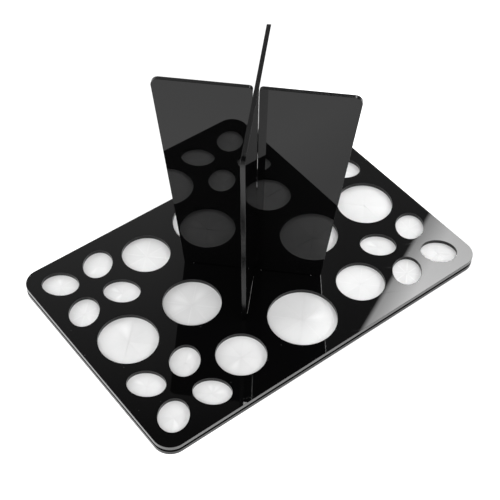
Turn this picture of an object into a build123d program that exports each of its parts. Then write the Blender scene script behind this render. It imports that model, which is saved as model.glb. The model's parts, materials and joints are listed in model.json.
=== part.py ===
"""Flat-pack brush drying rack of black acrylic sheet with an elastic membrane.

Two identical acrylic plates hold an elastic membrane between them. Both plates are
cut with 26 holes, and the membrane has a star of eight slits in the middle of each
hole, so that a brush handle pushed through it is gripped by the flaps. Two crossing
panels stand in slots in the plates. In use the rack is turned over: the wide ends of
the panels are its feet, and the brushes hang below the plates. It is modelled here
with the plates lying flat and the panels standing up.

Frame: the origin is the centre of the lower plate's underside, +X along the plates'
long side, +Y along their short side, +Z up. Millimetres.
"""

from build123d import *

import os
from math import cos, hypot, radians, sin

os.makedirs("parts", exist_ok=True)

# plates
plate_length = 280.0
plate_width = 182.0
plate_thickness = 3.0
plate_corner_radius = 13.0
arris = 0.2  # polished rounding of the outer edges

# membrane
membrane_thickness = 2.0
membrane_inset = 6.0  # from the plates' outline to the membrane's
slit_width = 0.2
flap_hinge = 1.5  # uncut band between a slit's end and the hole's wall

# round holes: radius, and distance from the middle along X and Y
end_hole = (21.1, 107.5, 0.0)
inner_hole = (20.9, 53.7, 0.0)
side_hole = (17.7, 53.7, 57.1)
middle_hole = (24.6, 0.0, 57.1)

# oval holes: four petals about a centre near each corner
oval_long = 13.4  # half of the long axis
oval_short = 10.6  # half of the short axis
petal_centre_x = 103.0
petal_centre_y = 54.0
petal_offset = 15.7  # from the centre of the four to an oval, along X and along Y

# crossing panels
overall_height = 178.0
panel_thickness = 3.0
panel_top_width = 133.5
panel_base_width = 98.6
panel_corner_radius = 5.0
tab_inner = 6.8  # from the middle of the panel to a tab's inner edge
tab_outer = 42.2
tab_recess = 0.3  # the tabs stop this far above the underside
tab_corner = 1.0
tab_root = 5.0  # how far the tabs run up into the panel's own outline
mouth_radius = 2.5
slot_play = 0.6  # on each side of a panel centred in a slot
upper_panel_lean = 0.4  # the upper panel stands this far to one side of its slots
slot_end_gap = 0.4  # between the ends of the two panels' slots

# worked out
stack_height = 2 * plate_thickness + membrane_thickness
upper_plate_z = plate_thickness + membrane_thickness
slot_width = panel_thickness + 2 * slot_play
plate_slot_length = tab_outer - tab_inner + 2 * slot_play
plate_slot_middle = (tab_outer + tab_inner) / 2
slot_meeting_z = overall_height / 2
half_turn = 180
panel_angles = (-45, 45)
slit_angles = (0, 45, 90, 135)


def signed(x, y):
    """The points (+-x, +-y), each once, also where x or y is 0."""
    return sorted({(sx * x, sy * y) for sx in (1, -1) for sy in (1, -1)})


# each hole as (x, y, half of its long axis, half of its short axis, turn in degrees)
holes = []
for radius, hole_x, hole_y in (end_hole, inner_hole, side_hole, middle_hole):
    for x, y in signed(hole_x, hole_y):
        holes.append((x, y, radius, radius, 0))
for centre_x, centre_y in signed(petal_centre_x, petal_centre_y):
    for step_x, step_y in signed(petal_offset, petal_offset):
        # the long axis points at the centre of the four
        turn = 45 if step_x * step_y > 0 else -45
        holes.append((centre_x + step_x, centre_y + step_y, oval_long, oval_short, turn))


def hole_shape(long_half, short_half, turn):
    """A hole's outline in the active sketch: a circle, or an ellipse at an angle."""
    if long_half == short_half:
        Circle(long_half)
    else:
        Ellipse(long_half, short_half, rotation=turn)


def wall_distance(long_half, short_half, angle):
    """How far an ellipse's wall is from its centre, at an angle to its long axis."""
    across = hypot(short_half * cos(radians(angle)), long_half * sin(radians(angle)))
    return long_half * short_half / across


def panel_slots(width, length):
    """The four slots for the panels' tabs, in the active sketch."""
    for angle in panel_angles:
        for way in (angle, angle + half_turn):
            with PolarLocations(plate_slot_middle, 1, start_angle=way):
                Rectangle(length, width)


# --- plates -------------------------------------------------------------------------
for plate_name, plate_z in (("lower_plate", 0.0), ("upper_plate", upper_plate_z)):
    with BuildPart() as plate:
        with BuildSketch(Plane.XY.offset(plate_z)):
            RectangleRounded(plate_length, plate_width, plate_corner_radius)
        extrude(amount=plate_thickness)
        fillet(plate.faces().filter_by(Axis.Z).edges(), arris)

        with BuildSketch(Plane.XY.offset(plate_z)):
            for x, y, long_half, short_half, turn in holes:
                with Locations((x, y)):
                    hole_shape(long_half, short_half, turn)
            panel_slots(slot_width, plate_slot_length)
        extrude(amount=plate_thickness, mode=Mode.SUBTRACT)
    plate.part.label = plate_name
    export_step(plate.part, f"parts/{plate_name}.step")

# --- elastic membrane, one sheet between the plates ---------------------------------
with BuildPart() as elastic_membrane:
    with BuildSketch(Plane.XY.offset(plate_thickness)):
        RectangleRounded(
            plate_length - 2 * membrane_inset,
            plate_width - 2 * membrane_inset,
            plate_corner_radius - membrane_inset,
        )
    extrude(amount=membrane_thickness)

    # the slots, and a star of slits in each hole
    with BuildSketch(Plane.XY.offset(plate_thickness)):
        panel_slots(slot_width, plate_slot_length)
        for x, y, long_half, short_half, turn in holes:
            with Locations((x, y)):
                for angle in slit_angles:
                    wall = wall_distance(long_half, short_half, angle - turn)
                    Rectangle(2 * (wall - flap_hinge), slit_width, rotation=angle)
    extrude(amount=membrane_thickness, mode=Mode.SUBTRACT)
elastic_membrane.part.label = "elastic_membrane"
export_step(elastic_membrane.part, "parts/elastic_membrane.step")

# --- crossing panels -----------------------------------------------------------------
# Both have one outline, a trapezoid with its wide end up and two tabs below, and each
# is slotted to half its height: the lower panel from above, the upper one from below.
half_top = panel_top_width / 2
half_base = panel_base_width / 2
tab_top = stack_height + tab_root
panels = (
    # name, angle to X, sideways lean, the slot's two ends, and which of them is its mouth
    ("cross_panel_lower", panel_angles[0], 0.0, slot_meeting_z, overall_height, -1),
    (
        "cross_panel_upper",
        panel_angles[1],
        upper_panel_lean,
        stack_height,
        slot_meeting_z + slot_end_gap,
        0,
    ),
)
for panel_name, angle, lean, slot_low, slot_high, mouth in panels:
    along = Vector(1, 0, 0).rotate(Axis.Z, angle)
    sideways = along.cross(Vector(0, 0, 1))
    upright = Plane(origin=lean * sideways, x_dir=along, z_dir=sideways)
    with BuildPart() as panel:
        # the slotted trapezoid, which rests on the upper plate
        with BuildSketch(upright) as outline:
            with BuildLine():
                Polyline(
                    (-half_base, stack_height),
                    (half_base, stack_height),
                    (half_top, overall_height),
                    (-half_top, overall_height),
                    close=True,
                )
            make_face()
            fillet(outline.vertices().group_by(Axis.Y)[-1], panel_corner_radius)
            with Locations((0, (slot_low + slot_high) / 2)):
                Rectangle(slot_width, slot_high - slot_low, mode=Mode.SUBTRACT)
            corners = outline.vertices().filter_by_position(Axis.X, -slot_width, slot_width)
            fillet(corners.group_by(Axis.Y)[mouth], mouth_radius)
        extrude(amount=panel_thickness / 2, both=True)
        fillet(panel.faces().filter_by(upright).edges(), arris)

        # the two tabs, which reach down through the plates
        with BuildSketch(upright) as tabs:
            tab_middle = (tab_recess + tab_top) / 2
            with Locations((-plate_slot_middle, tab_middle), (plate_slot_middle, tab_middle)):
                Rectangle(tab_outer - tab_inner, tab_top - tab_recess)
            fillet(tabs.vertices().group_by(Axis.Y)[0], tab_corner)
        extrude(amount=panel_thickness / 2, both=True)
    panel.part.label = panel_name
    export_step(panel.part, f"parts/{panel_name}.step")
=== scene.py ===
import json
import random
from math import atan2, cos, hypot, pi, radians, sin

import bmesh
import bpy
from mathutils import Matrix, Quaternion, Vector
from mathutils.geometry import delaunay_2d_cdt


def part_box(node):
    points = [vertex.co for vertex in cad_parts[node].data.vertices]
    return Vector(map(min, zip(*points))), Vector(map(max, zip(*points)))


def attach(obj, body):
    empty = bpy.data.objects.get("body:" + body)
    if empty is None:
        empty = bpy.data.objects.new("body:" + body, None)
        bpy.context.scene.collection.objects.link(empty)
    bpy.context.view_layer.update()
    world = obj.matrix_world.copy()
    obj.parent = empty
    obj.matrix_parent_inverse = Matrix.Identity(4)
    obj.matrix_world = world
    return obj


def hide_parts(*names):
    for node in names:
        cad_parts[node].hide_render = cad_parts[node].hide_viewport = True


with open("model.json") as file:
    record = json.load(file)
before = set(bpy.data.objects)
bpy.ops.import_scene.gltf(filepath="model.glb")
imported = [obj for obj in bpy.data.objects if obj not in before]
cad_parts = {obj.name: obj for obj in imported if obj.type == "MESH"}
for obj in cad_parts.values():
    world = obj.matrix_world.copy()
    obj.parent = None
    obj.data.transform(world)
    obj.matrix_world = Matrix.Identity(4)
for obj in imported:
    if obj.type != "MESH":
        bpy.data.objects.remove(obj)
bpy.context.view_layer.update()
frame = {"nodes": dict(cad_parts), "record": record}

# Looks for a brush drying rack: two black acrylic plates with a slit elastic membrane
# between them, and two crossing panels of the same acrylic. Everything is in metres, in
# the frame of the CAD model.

scene = bpy.context.scene
MM = 0.001

# --- camera ---------------------------------------------------------------------------
camera_place = Vector((-0.35184, -0.43998, 0.66204))
camera_direction = Vector((0.41252, 0.51959, -0.74823))
camera_roll = radians(1.10)
camera_lens = 86.10

camera_data = bpy.data.cameras.new("camera")
camera_data.lens = camera_lens
camera_data.clip_start = 0.01
camera_data.clip_end = 50
camera = bpy.data.objects.new("camera", camera_data)
scene.collection.objects.link(camera)
camera.location = camera_place
camera.rotation_mode = "QUATERNION"
looking = camera_direction.to_track_quat("-Z", "Y")
camera.rotation_quaternion = looking @ Quaternion((0, 0, 1), camera_roll)
scene.camera = camera
scene.view_settings.view_transform = "Standard"


# --- node helpers -----------------------------------------------------------------------
class Nodes:
    """A short way to write a node tree."""

    def __init__(self, tree):
        self.tree = tree
        tree.nodes.clear()

    def add(self, kind, inputs=None, **settings):
        """Adds a node; inputs are constants or other nodes' outputs."""
        node = self.tree.nodes.new(kind)
        for name, value in settings.items():
            setattr(node, name, value)
        for name, value in (inputs or {}).items():
            if isinstance(value, bpy.types.NodeSocket):
                self.tree.links.new(value, node.inputs[name])
            else:
                node.inputs[name].default_value = value
        return node

    def math(self, operation, first, second=0.0, third=0.0):
        """The result of a Math node."""
        inputs = {0: first, 1: second, 2: third}
        return self.add("ShaderNodeMath", inputs, operation=operation).outputs[0]

    def dot(self, first, second):
        """The dot product of two vectors."""
        inputs = {0: first, 1: second}
        return self.add("ShaderNodeVectorMath", inputs, operation="DOT_PRODUCT").outputs["Value"]

    def ramp(self, value, low, high, to_low=0.0, to_high=1.0):
        """value from low..high mapped to to_low..to_high, held at both ends."""
        inputs = {
            "Value": value,
            "From Min": low,
            "From Max": high,
            "To Min": to_low,
            "To Max": to_high,
        }
        return self.add("ShaderNodeMapRange", inputs, clamp=True).outputs["Result"]

    def noise(self, place, scale, detail=2.0, roughness=0.5):
        """A noise texture's value."""
        inputs = {
            "Vector": place,
            "Scale": scale,
            "Detail": detail,
            "Roughness": roughness,
            "Distortion": 0.0,
        }
        return self.add("ShaderNodeTexNoise", inputs).outputs["Fac"]

    def mapped(self, place, turn=0.0, scale=(1, 1, 1)):
        """A place turned about Z, then scaled."""
        turned = {"Vector": place, "Axis": (0, 0, 1), "Angle": turn}
        turned = self.add("ShaderNodeVectorRotate", turned, rotation_type="AXIS_ANGLE")
        inputs = {0: turned.outputs["Vector"], 1: scale}
        return self.add("ShaderNodeVectorMath", inputs, operation="MULTIPLY").outputs["Vector"]

    def mix(self, share, first, second):
        """A number between first and second."""
        inputs = {"Factor": share, "A": first, "B": second}
        return self.add("ShaderNodeMix", inputs).outputs["Result"]


def new_material(name):
    """A material with an empty node tree, and the short way to write it."""
    material = bpy.data.materials.new(name)
    material.use_nodes = True
    return material, Nodes(material.node_tree)


# --- materials --------------------------------------------------------------------------
acrylic_ior = 1.49
panel_ior = 1.42  # a little lower, so that the panels mirror less than the plates
acrylic_colour = (0.0014, 0.0014, 0.0015, 1)
dust_colour = (0.06, 0.06, 0.06, 1)
lines_along = 150  # how fine the cutting beam's lines are, through the sheet and across
lines_across = 800
rim_width = 6 * MM  # no hole comes this near to a plate's outer edge
plate_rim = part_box("upper_plate")[1] - Vector((rim_width, rim_width, 0))


def black_acrylic(name, turn, across, edge_roughness, frost_and_painted_light=0.0, ior=acrylic_ior):
    """Polished black acrylic sheet. turn brings the sheet's own directions onto X, Y and Z,
    and across is then the direction through its thickness. frost is how grey a plate's
    outer edge is painted: partly sanding, partly painted light."""
    material, n = new_material(name)
    place = n.add("ShaderNodeTexCoord")
    turned = n.mapped(place.outputs["Object"], turn)
    normal = n.mapped(place.outputs["Normal"], turn)

    # 1 on the sheet's two faces, 0 on its cut edges
    facing = n.math("ABSOLUTE", n.dot(normal, across))
    face = n.ramp(facing, 0.90, 0.97)

    # faces: faint waviness of the sheet, haze, hairline scratches and a little dust
    waviness = n.noise(turned, 14, detail=1)
    haze = n.noise(turned, 45, detail=4, roughness=0.6)
    hair_one = n.noise(n.mapped(turned, radians(25), (9, 1500, 9)), 1, detail=2)
    hair_two = n.noise(n.mapped(turned, radians(-58), (1300, 7, 7)), 1, detail=2)
    hairs = n.math("MAXIMUM", n.ramp(hair_one, 0.70, 0.76), n.ramp(hair_two, 0.71, 0.77))
    specks = n.add("ShaderNodeTexVoronoi", {"Vector": turned, "Scale": 260})
    speck_shade = n.ramp(specks.outputs["Distance"], 0.05, 0.13, 1, 0)
    chosen = n.ramp(n.dot(specks.outputs["Color"], (1, 0, 0)), 0.93, 0.95)
    dust = n.math("MULTIPLY", speck_shade, chosen)
    face_roughness = n.ramp(haze, 0.35, 0.75, 0.006, 0.02)
    face_roughness = n.math("ADD", face_roughness, n.math("MULTIPLY", hairs, 0.03))

    # edges: fine lines through the thickness, left by the cutting beam
    fineness = tuple(lines_along if a else lines_across for a in across)
    lines = n.noise(n.mapped(turned, 0, fineness), 1, detail=3, roughness=0.65)
    edge_rough = n.ramp(lines, 0.3, 0.7, edge_roughness * 0.7, edge_roughness * 1.4)

    wave_bump = {"Strength": 0.25, "Distance": 0.04 * MM, "Height": waviness}
    wave_bump = n.add("ShaderNodeBump", wave_bump)
    scratch_bump = {
        "Strength": 0.15,
        "Distance": 0.01 * MM,
        "Height": hairs,
        "Normal": wave_bump.outputs["Normal"],
    }
    scratch_bump = n.add("ShaderNodeBump", scratch_bump, invert=True)
    edge_share = n.math("SUBTRACT", 1, face)
    line_bump = {
        "Strength": n.math("MULTIPLY", edge_share, 0.8),
        "Distance": 0.03 * MM,
        "Height": lines,
        "Normal": scratch_bump.outputs["Normal"],
    }
    line_bump = n.add("ShaderNodeBump", line_bump)

    colour = {"Factor": n.math("MULTIPLY", dust, face), "A": acrylic_colour, "B": dust_colour}
    colour = n.add("ShaderNodeMix", colour, data_type="RGBA")
    # pale grey painted on the outer cut edge, partly sanding and partly painted light
    if frost_and_painted_light:
        # the outer edge alone, past the outermost holes
        span = n.add("ShaderNodeVectorMath", {0: turned}, operation="ABSOLUTE")
        span = span.outputs["Vector"]
        past_x = n.ramp(n.dot(span, (1, 0, 0)), plate_rim.x - MM, plate_rim.x)
        past_y = n.ramp(n.dot(span, (0, 1, 0)), plate_rim.y - MM, plate_rim.y)
        outer = n.math("MULTIPLY", edge_share, n.math("MAXIMUM", past_x, past_y))
        outer = n.math("MULTIPLY", outer, n.ramp(lines, 0.2, 0.8, 0.8, 1.0))
        frosted_and_lit = {
            "Factor": outer,
            "A": colour.outputs["Result"],
            "B": (frost_and_painted_light, frost_and_painted_light, frost_and_painted_light, 1),
        }
        colour = n.add("ShaderNodeMix", frosted_and_lit, data_type="RGBA")
    inputs = {
        "Base Color": colour.outputs["Result"],
        "IOR": ior,
        "Roughness": n.mix(face, edge_rough, face_roughness),
        "Normal": line_bump.outputs["Normal"],
    }
    shader = n.add("ShaderNodeBsdfPrincipled", inputs)
    n.add("ShaderNodeOutputMaterial", {"Surface": shader.outputs["BSDF"]})
    return material


elastic_shade = (0.84, 0.88)  # its darkest and palest mottling
# the paler shade painted along the slits, a painted light line
slit_light_shade = 0.95
elastic_glow = 0.20  # share of the light that comes through
tone_spread = 0.018  # how far the flaps differ in brightness


def white_elastic(name):
    """White elastic membrane: matt, slightly see-through to light, faintly mottled."""
    material, n = new_material(name)
    place = n.add("ShaderNodeTexCoord").outputs["Object"]
    clouds = n.noise(place, 55, detail=3)
    grain = n.noise(place, 1800, detail=2)
    shade = n.ramp(clouds, 0.3, 0.7, *elastic_shade)
    # paler along the cut sides of the flaps: a painted light line along each slit
    slit_light_mask = n.add("ShaderNodeAttribute", attribute_name="slit_light_mask", attribute_type="GEOMETRY")
    # each flap's own random tone, plus a painted highlight patch on a few flaps
    tone_and_glint = n.add("ShaderNodeAttribute", attribute_name="tone_and_glint", attribute_type="GEOMETRY")
    shade = n.math("MULTIPLY_ADD", tone_and_glint.outputs["Fac"], tone_spread, shade)
    shade = n.mix(slit_light_mask.outputs["Fac"], shade, slit_light_shade)
    colour = n.add("ShaderNodeCombineColor", {"Red": shade, "Green": shade, "Blue": shade})
    bump = n.add("ShaderNodeBump", {"Strength": 0.12, "Distance": 0.04 * MM, "Height": grain})
    inputs = {
        "Base Color": colour.outputs["Color"],
        "Roughness": n.ramp(grain, 0.3, 0.7, 0.38, 0.5),
        "Normal": bump.outputs["Normal"],
    }
    shader = n.add("ShaderNodeBsdfPrincipled", inputs)
    glow = {"Color": colour.outputs["Color"], "Normal": bump.outputs["Normal"]}
    glow = n.add("ShaderNodeBsdfTranslucent", glow)
    mixed = {0: elastic_glow, 1: shader.outputs["BSDF"], 2: glow.outputs["BSDF"]}
    mixed = n.add("ShaderNodeMixShader", mixed)
    n.add("ShaderNodeOutputMaterial", {"Surface": mixed.outputs["Shader"]})
    return material


def dress(node, material):
    """Gives a CAD node one material."""
    node.data.materials.clear()
    node.data.materials.append(material)


through_plates = (0, 0, 1)
through_panels = (1, 0, 0)
panel_edge_roughness = 0.16
# The plates' outer edges are painted grey, partly sanding and partly painted light: the upper
# plate's edge is much paler, a painted highlight, and the lower plate's is near black, painted
# shade near the floor.
dress(
    frame["nodes"]["upper_plate"],
    black_acrylic("acrylic_upper_plate", 0, through_plates, edge_roughness=0.12, frost_and_painted_light=0.095),
)
dress(
    frame["nodes"]["lower_plate"],
    black_acrylic("acrylic_lower_plate", 0, through_plates, edge_roughness=0.10, frost_and_painted_light=0.004),
)
for side, turn in (("lower", radians(-45)), ("upper", radians(45))):
    acrylic = black_acrylic(
        f"acrylic_{side}_panel", turn, through_panels, panel_edge_roughness, ior=panel_ior
    )
    dress(frame["nodes"][f"cross_panel_{side}"], acrylic)

# --- elastic membrane with its flaps ------------------------------------------------------
slit_count = 8
slit_half_width = 0.02 * MM
hinge_band = 1.5 * MM  # uncut band between a slit's end and the hole's wall
flap_across = 8  # mesh steps across a flap, and from its hinge to its tip
flap_down = 8
tip_left = 0.004  # share of the flap's length cut off its very tip
flap_sag = 0.35 * MM
flap_curl = 0.22 * MM
flap_twist = 0.10 * MM
slit_light_width = 0.7 * MM  # the strip along each cut side of a flap that is painted paler, a painted light line along the slit
glint_share = 0.10  # some flaps get a pale patch painted mid-flap, a painted highlight
glint_tone = 5.0
flap_seed = 7
membrane_corner = 7 * MM
mesh_join = 1e-7  # points nearer than this are one

# the panels' slots: how far their ends are from the middle, and half their width
slot_inner = 6.2 * MM
slot_outer = 42.8 * MM
slot_half_width = 2.1 * MM

# half the long and the short axis of the holes, by the start of the opening's name
largest_hole = 24.6 * MM
hole_sizes = {
    "end_hole": (21.1 * MM, 21.1 * MM),
    "inner_hole": (20.9 * MM, 20.9 * MM),
    "side_hole": (17.7 * MM, 17.7 * MM),
    "middle_hole": (largest_hole, largest_hole),
    "oval": (13.4 * MM, 10.6 * MM),
}


class Hole:
    """A hole in the plates, as a circle or an ellipse whose long axis points at its group."""

    def __init__(self, opening, group_centre):
        low, high = (Vector(corner) for corner in opening["box_m"])
        self.centre = ((low + high) / 2).to_2d()
        kind = next(k for k in hole_sizes if opening["name"].startswith(k))
        self.long_half, self.short_half = hole_sizes[kind]
        self.turn = 0.0
        if kind == "oval":
            inward = group_centre - self.centre
            self.turn = atan2(inward.y, inward.x)

    def reach(self, angle):
        """How far the hole's wall is from its centre in a direction."""
        a = angle - self.turn
        across = hypot(self.short_half * cos(a), self.long_half * sin(a))
        return self.long_half * self.short_half / across

    def holds(self, point):
        """Whether a point is inside the ring of hinges."""
        arm = point - self.centre
        return arm.length < self.reach(atan2(arm.y, arm.x)) - hinge_band


def quadrant_centre(openings, name):
    """The middle of the openings that share a corner of the plates, as four ovals do."""
    corner = "_".join(name.split("_")[:3])
    boxes = [o["box_m"] for o in openings if o["name"].startswith(corner)]
    middles = [(Vector(low) + Vector(high)) / 2 for low, high in boxes]
    return (sum(middles, Vector((0, 0, 0))) / len(middles)).to_2d()


openings = frame["record"]["physics"]["openings"]
holes = [Hole(o, quadrant_centre(openings, o["name"])) for o in openings]


def arc(centre, radius, start, steps=8):
    """A quarter turn of points."""
    turns = [start + pi / 2 * step / steps for step in range(steps + 1)]
    return [centre + radius * Vector((cos(t), sin(t))) for t in turns]


def membrane_outline():
    """The membrane's outline, anticlockwise, with round corners."""
    low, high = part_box("elastic_membrane")
    half_x = high.x - membrane_corner
    half_y = high.y - membrane_corner
    corners = ((half_x, half_y), (-half_x, half_y), (-half_x, -half_y), (half_x, -half_y))
    points = []
    for index, corner in enumerate(corners):
        points += arc(Vector(corner), membrane_corner, index * pi / 2)
    return points


def slot_outlines():
    """The four slots that the panels' tabs go through."""
    slots = []
    for index in range(4):
        turn = pi / 4 + index * pi / 2
        along = Vector((cos(turn), sin(turn)))
        side = Vector((-along.y, along.x)) * slot_half_width
        near, far = (along * end for end in (slot_inner, slot_outer))
        slots.append([near - side, far - side, far + side, near + side])
    return slots


def flap_points(hole, index):
    """Rows of one flap's points, from its hinge to its tip, flat."""
    step = 2 * pi / slit_count
    start = index * step
    tip_reach = slit_half_width / sin(step / 2)
    tip = tip_reach * Vector((cos(start + step / 2), sin(start + step / 2)))
    rows = []
    for down in range(flap_down + 1):
        share = (down / flap_down) * (1 - tip_left)
        width = step * hole.short_half * (1 - share)
        strip = min(slit_light_width / width, 1 / flap_across)
        row = []
        for over in range(flap_across + 1):
            part = over / flap_across
            if over == 1:
                part = strip
            if over == flap_across - 1:
                part = 1 - strip
            angle = start + step * part
            arm = (hole.reach(angle) - hinge_band) * Vector((cos(angle), sin(angle)))
            if over == 0:
                arm += slit_half_width * Vector((-sin(angle), cos(angle)))
            if over == flap_across:
                arm -= slit_half_width * Vector((-sin(angle), cos(angle)))
            row.append(hole.centre + arm.lerp(tip, share))
        rows.append(row)
    return rows


def make_membrane():
    """The membrane with its flaps, as one closed mesh."""
    rng = random.Random(flap_seed)
    low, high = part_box("elastic_membrane")
    mesh = bmesh.new()
    slit_light_mask = mesh.verts.layers.float.new("slit_light_mask")  # how strongly the cut sides of the flaps are painted paler, a painted light line along each slit
    tone_and_glint = mesh.verts.layers.float.new("tone_and_glint")  # each flap's own shade, fading to its hinge, plus a painted highlight patch on a few flaps

    # every flap as a small grid, curled a little by its own amount
    loops = []
    for hole in holes:
        loop = []
        size = hole.short_half / largest_hole
        # how strongly this hole's slits get their painted light line
        slit_light_strength = rng.uniform(0, 1) ** 2
        for index in range(slit_count):
            curl = (rng.uniform(-1, 1) * flap_curl - flap_sag) * size
            twist = rng.uniform(-1, 1) * flap_twist * size
            shade = rng.uniform(-1, 1)
            glint = glint_tone * (rng.uniform(0, 1) < glint_share)
            grid = []
            for down, row in enumerate(flap_points(hole, index)):
                share = down / flap_down
                verts = []
                for over, point in enumerate(row):
                    side = 2 * over / flap_across - 1
                    lift = curl * share**1.5 + twist * side * share * (1 - share) * 2
                    vert = mesh.verts.new((point.x, point.y, high.z + lift))
                    vert[slit_light_mask] = slit_light_strength * (down > 0 and over in (0, flap_across))
                    # a painted highlight mid-flap, on the few flaps chosen above
                    glint_patch = (4 * share * (1 - share) * (1 - side**2)) ** 2
                    vert[tone_and_glint] = shade * (1 - (1 - share) ** 4) + glint * glint_patch
                    verts.append(vert)
                grid.append(verts)
            for above, below in zip(grid, grid[1:]):
                for a, b, c, d in zip(above, above[1:], below[1:], below):
                    mesh.faces.new((a, b, c, d))
            loop += grid[0]
        loops.append(loop)

    # the flat band between the hinges, the slots and the outline
    rings = [[v.co.to_2d() for v in loop] for loop in loops]
    slots = slot_outlines()
    rings = rings + slots + [membrane_outline()]
    points, edges = [], []
    for ring in rings:
        first = len(points)
        points += ring
        edges += [(first + i, first + (i + 1) % len(ring)) for i in range(len(ring))]
    made, _, faces, origins, _, _ = delaunay_2d_cdt(points, edges, [], 1, mesh_join)
    known = [v for loop in loops for v in loop]
    band = []
    for point, origin in zip(made, origins):
        if origin and origin[0] < len(known):
            band.append(known[origin[0]])
        else:
            band.append(mesh.verts.new((point.x, point.y, high.z)))
    for corners in faces:
        middle = sum((made[c] for c in corners), Vector((0, 0))) / len(corners)
        in_slot = any(inside(middle, slot) for slot in slots)
        if not in_slot and not any(hole.holds(middle) for hole in holes):
            mesh.faces.new([band[c] for c in corners])

    # thickness
    bmesh.ops.recalc_face_normals(mesh, faces=mesh.faces)
    if sum(f.normal.z * f.calc_area() for f in mesh.faces) < 0:
        bmesh.ops.reverse_faces(mesh, faces=mesh.faces)
    grown = bmesh.ops.extrude_face_region(mesh, geom=mesh.faces[:])
    moved = [g for g in grown["geom"] if isinstance(g, bmesh.types.BMVert)]
    bmesh.ops.translate(mesh, vec=(0, 0, low.z - high.z), verts=moved)
    bmesh.ops.recalc_face_normals(mesh, faces=mesh.faces)

    data = bpy.data.meshes.new("membrane_with_flaps")
    mesh.to_mesh(data)
    mesh.free()
    for polygon in data.polygons:
        polygon.use_smooth = True
    data.set_sharp_from_angle(angle=radians(35))
    membrane = bpy.data.objects.new("membrane_with_flaps", data)
    scene.collection.objects.link(membrane)
    membrane.data.materials.append(white_elastic("elastic_membrane"))
    return membrane


def inside(point, outline):
    """Whether a point is inside a convex outline given anticlockwise."""
    for a, b in zip(outline, outline[1:] + outline[:1]):
        edge, arm = b - a, point - a
        if edge.x * arm.y - edge.y * arm.x < 0:
            return False
    return True


membrane = make_membrane()
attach(membrane, "plates")
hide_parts("elastic_membrane")

# --- floor ------------------------------------------------------------------------------
floor_size = 40
floor_drop = 0.0003
floor_glow = 1.0
floor_grey = 0.08
floor_glow_left = 0.30  # more on the left, which the lower panel mirrors
floor_glow_behind = 0.72  # more behind the rack on the right, where the light comes from
to_right = (0.707, -0.707, 0)  # seen from the camera
to_back = (0.707, 0.707, 0)

bpy.ops.mesh.primitive_grid_add(size=floor_size, location=(0, 0, -floor_drop))
floor = bpy.context.object
floor.name = "floor"
material, n = new_material("floor")
diffuse = n.add("ShaderNodeBsdfDiffuse", {"Color": (floor_grey, floor_grey, floor_grey, 1)})
place = n.add("ShaderNodeTexCoord").outputs["Object"]
aside = n.ramp(n.dot(place, to_right), -0.02, 0.02)
behind = n.ramp(n.dot(place, to_back), 0.05, 0.15)
right = n.math("MULTIPLY", aside, behind)
left = n.ramp(n.dot(place, (1, 0, 0)), -0.10, -0.04, 1, 0)
strength = n.math("MULTIPLY_ADD", left, floor_glow_left, floor_glow)
strength = n.math("MULTIPLY_ADD", right, floor_glow_behind, strength)
glow = n.add("ShaderNodeEmission", {"Color": (1, 1, 1, 1), "Strength": strength})
both = n.add("ShaderNodeAddShader", {0: diffuse.outputs["BSDF"], 1: glow.outputs["Emission"]})
n.add("ShaderNodeOutputMaterial", {"Surface": both.outputs["Shader"]})
floor.data.materials.append(material)


# --- light ------------------------------------------------------------------------------
def softbox(name, centre, toward, size, radiance):
    """A rectangular light of a given radiance, not seen itself or mirrored in the acrylic."""
    data = bpy.data.lights.new(name, "AREA")
    data.shape = "RECTANGLE"
    data.size, data.size_y = size
    data.energy = pi * size[0] * size[1] * radiance
    light = bpy.data.objects.new(name, data)
    scene.collection.objects.link(light)
    light.location = centre
    light.rotation_mode = "QUATERNION"
    light.rotation_quaternion = Vector(toward).to_track_quat("-Z", "Y")
    light.visible_camera = False
    light.visible_glossy = False
    return light


# the studio: grey walls that darken upwards, and a ceiling that is darker straight up
# and paler on the left
wall_strength = 0.5
ceiling_strength, ceiling_middle_strength = 0.5, 0.05
ceiling_right_share, ceiling_left_share = 0.5, 1.15
to_left = (-0.78, 0.62, 0)

world = bpy.data.worlds.new("studio")
world.use_nodes = True
scene.world = world
n = Nodes(world.node_tree)
direction = n.add("ShaderNodeTexCoord").outputs["Generated"]
rise = n.dot(direction, (0, 0, 1))
walls = n.ramp(rise, 0.05, 0.40, wall_strength, 0)
ceiling = n.ramp(rise, 0.70, 0.84, ceiling_strength, ceiling_middle_strength)
leftward = n.dot(direction, to_left)
side_share = n.ramp(leftward, -0.08, 0.08, ceiling_right_share, ceiling_left_share)
ceiling = n.math("MULTIPLY", ceiling, side_share)
strength = n.math("ADD", walls, ceiling)
background = n.add("ShaderNodeBackground", {"Color": (1, 1, 1, 1), "Strength": strength})
n.add("ShaderNodeOutputWorld", {"Surface": background.outputs["Background"]})

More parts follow.
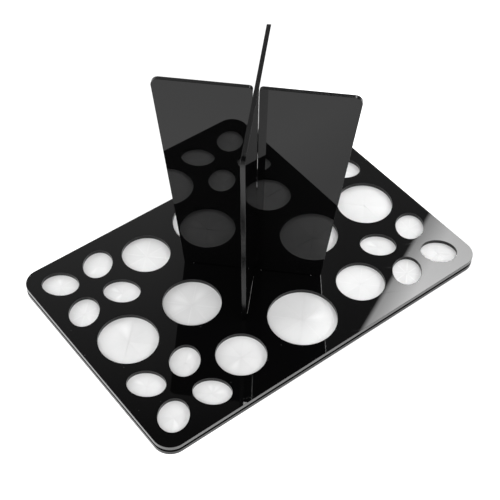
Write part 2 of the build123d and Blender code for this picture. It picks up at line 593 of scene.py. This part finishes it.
# behind on the right: a large box overhead that gets brighter away from its near edge,
# whose reflection shows in the plate's right corner
key_height = 1.0
key_edge = Vector((0.675, 0.479, key_height))
key_along = Vector((0.908, 0.419, 0))
key_inward = Vector((0.419, -0.908, 0))
key_length, key_depth = 0.80, 0.16
key_rim, key_rim_radiance = 0.009, 6.0
key_fade, key_radiance = 0.055, 12.0
key_far_share = 0.8  # its brightness at its far end, along its length

corners = [
    key_edge + key_along * key_length * across + key_inward * key_depth * inward
    for across, inward in ((-0.5, 0), (0.5, 0), (0.5, 1), (-0.5, 1))
]
data = bpy.data.meshes.new("key_light")
data.from_pydata(corners, [], [(0, 1, 2, 3)])
key = bpy.data.objects.new("key_light", data)
scene.collection.objects.link(key)
key.visible_camera = False
material, n = new_material("key_light")
place = n.add("ShaderNodeTexCoord").outputs["Object"]
offset = n.add("ShaderNodeVectorMath", {0: place, 1: key_edge}, operation="SUBTRACT")
inward = n.dot(offset.outputs["Vector"], key_inward)
rim = n.ramp(inward, 0, key_rim, 0, key_rim_radiance)
body = n.ramp(inward, key_rim, key_fade, 0, key_radiance - key_rim_radiance)
along = n.dot(offset.outputs["Vector"], key_along)
far_share = n.ramp(along, 0.03, 0.20, 1, key_far_share)
radiance = n.math("MULTIPLY", n.math("ADD", rim, body), far_share)
glow = n.add("ShaderNodeEmission", {"Color": (1, 1, 1, 1), "Strength": radiance})
n.add("ShaderNodeOutputMaterial", {"Surface": glow.outputs["Emission"]})
data.materials.append(material)

# soft fill from all round, which lights the membrane in its holes
softbox("back_right", (1.7, 0.8, 0.75), (-1.7, -0.8, -0.75), (1.0, 0.9), 4.6)
softbox("left", (-0.825, 0.572, 0.451), (0.825, -0.572, -0.451), (0.4, 0.4), 8.3)
softbox("front", (0.055, -0.88, 0.66), (-0.055, 0.88, -0.66), (0.4, 0.4), 4.6)
softbox("front_right", (0.9, -0.6, 0.8), (-0.9, 0.6, -0.8), (0.5, 0.5), 6)
softbox("front_left", (-0.7, -0.6, 0.9), (0.7, 0.6, -0.9), (0.5, 0.5), 9)
softbox("above", (0, -0.25, 1.3), (0, 0.1, -1), (0.4, 0.4), 6)
